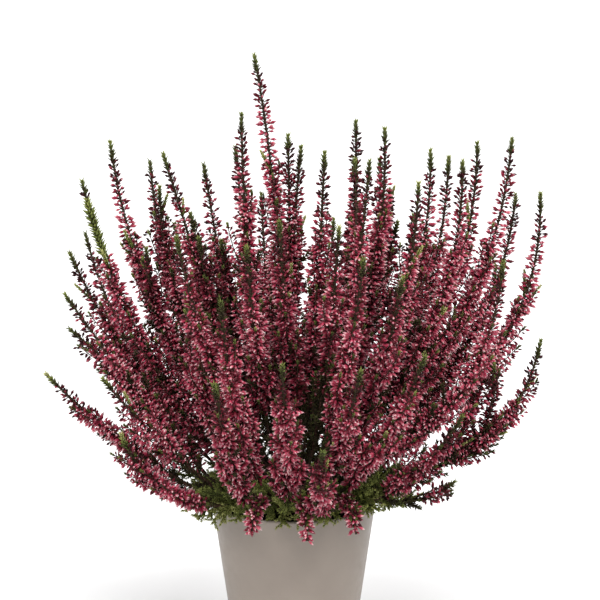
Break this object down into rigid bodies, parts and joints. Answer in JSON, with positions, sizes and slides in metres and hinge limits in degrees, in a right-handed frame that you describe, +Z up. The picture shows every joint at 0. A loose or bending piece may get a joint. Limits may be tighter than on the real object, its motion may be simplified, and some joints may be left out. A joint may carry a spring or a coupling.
{
  "type": "potted heather",
  "caption": "Bushy bud-blooming heather with upright pink flower spikes over a scale-leaved green cushion, rooted in soil in a plain tapered round pot.",
  "frame": {"origin": "centre of the pot's flat underside", "axes": "+Z up along the pot's axis, -Y towards the front of the plant, +X to the right seen from the front"},
  "size_m": [0.3591, 0.333, 0.424],
  "materials": {
    "pot": "smooth satin taupe, moulded, with a fine even grain",
    "soil": "dark crumbly peat with bark fibres, matte",
    "foliage": "mid to dark green scale leaves, lighter and yellower at the growing tips, on thin brown woody stems",
    "flowers": "waxy closed buds from dark crimson through rose to pale pink tips, with small green and brown bracts"
  },
  "bodies": {
    "root": {"pot": "pot", "soil": "soil", "leafy_plant": "foliage", "flower_spike_01": "flowers", "flower_spike_02": "flowers", "flower_spike_03": "flowers", "flower_spike_04": "flowers", "flower_spike_05": "flowers", "flower_spike_06": "flowers", "flower_spike_07": "flowers", "flower_spike_08": "flowers", "flower_spike_09": "flowers", "flower_spike_10": "flowers", "flower_spike_11": "flowers", "flower_spike_12": "flowers", "flower_spike_13": "flowers", "flower_spike_14": "flowers", "flower_spike_15": "flowers", "flower_spike_16": "flowers", "flower_spike_17": "flowers", "flower_spike_18": "flowers", "flower_spike_19": "flowers", "flower_spike_20": "flowers", "flower_spike_21": "flowers", "flower_spike_22": "flowers", "flower_spike_23": "flowers", "flower_spike_24": "flowers", "flower_spike_25": "flowers", "flower_spike_26": "flowers", "flower_spike_27": "flowers", "flower_spike_28": "flowers", "flower_spike_29": "flowers", "flower_spike_30": "flowers", "flower_spike_31": "flowers", "flower_spike_32": "flowers", "flower_spike_33": "flowers", "flower_spike_34": "flowers", "flower_spike_35": "flowers", "flower_spike_36": "flowers", "flower_spike_37": "flowers", "flower_spike_38": "flowers", "flower_spike_39": "flowers", "flower_spike_40": "flowers", "flower_spike_41": "flowers", "flower_spike_42": "flowers", "flower_spike_43": "flowers", "flower_spike_44": "flowers", "flower_spike_45": "flowers", "flower_spike_46": "flowers", "flower_spike_47": "flowers", "flower_spike_48": "flowers", "flower_spike_49": "flowers", "flower_spike_50": "flowers", "flower_spike_51": "flowers", "flower_spike_52": "flowers", "flower_spike_53": "flowers", "flower_spike_54": "flowers", "flower_spike_55": "flowers", "flower_spike_56": "flowers", "flower_spike_57": "flowers"}
  },
  "joints": []
}
